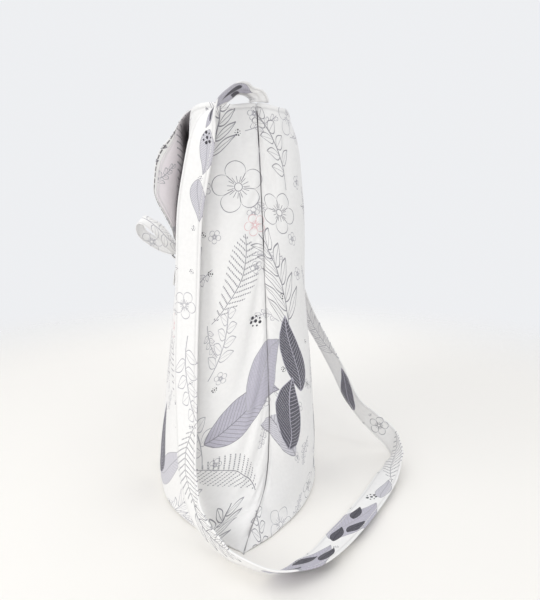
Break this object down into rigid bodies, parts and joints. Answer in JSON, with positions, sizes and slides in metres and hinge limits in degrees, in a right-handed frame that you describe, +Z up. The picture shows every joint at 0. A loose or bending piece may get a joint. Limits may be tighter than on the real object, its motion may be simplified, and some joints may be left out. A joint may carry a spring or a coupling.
{
  "type": "flap shoulder bag",
  "caption": "Tall soft cloth shoulder bag that stands on its flattened base, with pointed bottom corners, a rounded front flap tied by a bow and a long flat strap.",
  "frame": {"origin": "on the floor, at the middle of the bottom seam under the bag", "axes": "+Z up, X along the bag's width with the strap fold of the picture at +X, -Y out of the front with the flap and bow"},
  "size_m": [0.4261, 0.3125, 0.4025],
  "materials": {
    "printed_cloth": "white plain-weave cotton with a fine grey line print",
    "lining_cloth": "the same cotton, seen in shade inside the bag and under the flap",
    "strap_cloth": "folded cotton band with a stitched edge"
  },
  "bodies": {
    "root": {"front_panel": "printed_cloth", "back_panel": "printed_cloth", "lining_front": "lining_cloth", "lining_back": "lining_cloth", "flap": "printed_cloth", "flap_lining": "lining_cloth", "shoulder_strap": "strap_cloth", "bow_knot": "strap_cloth", "bow_loop_near": "strap_cloth", "bow_loop_far": "strap_cloth", "flap_tie": "strap_cloth", "body_tie": "strap_cloth"}
  },
  "joints": []
}
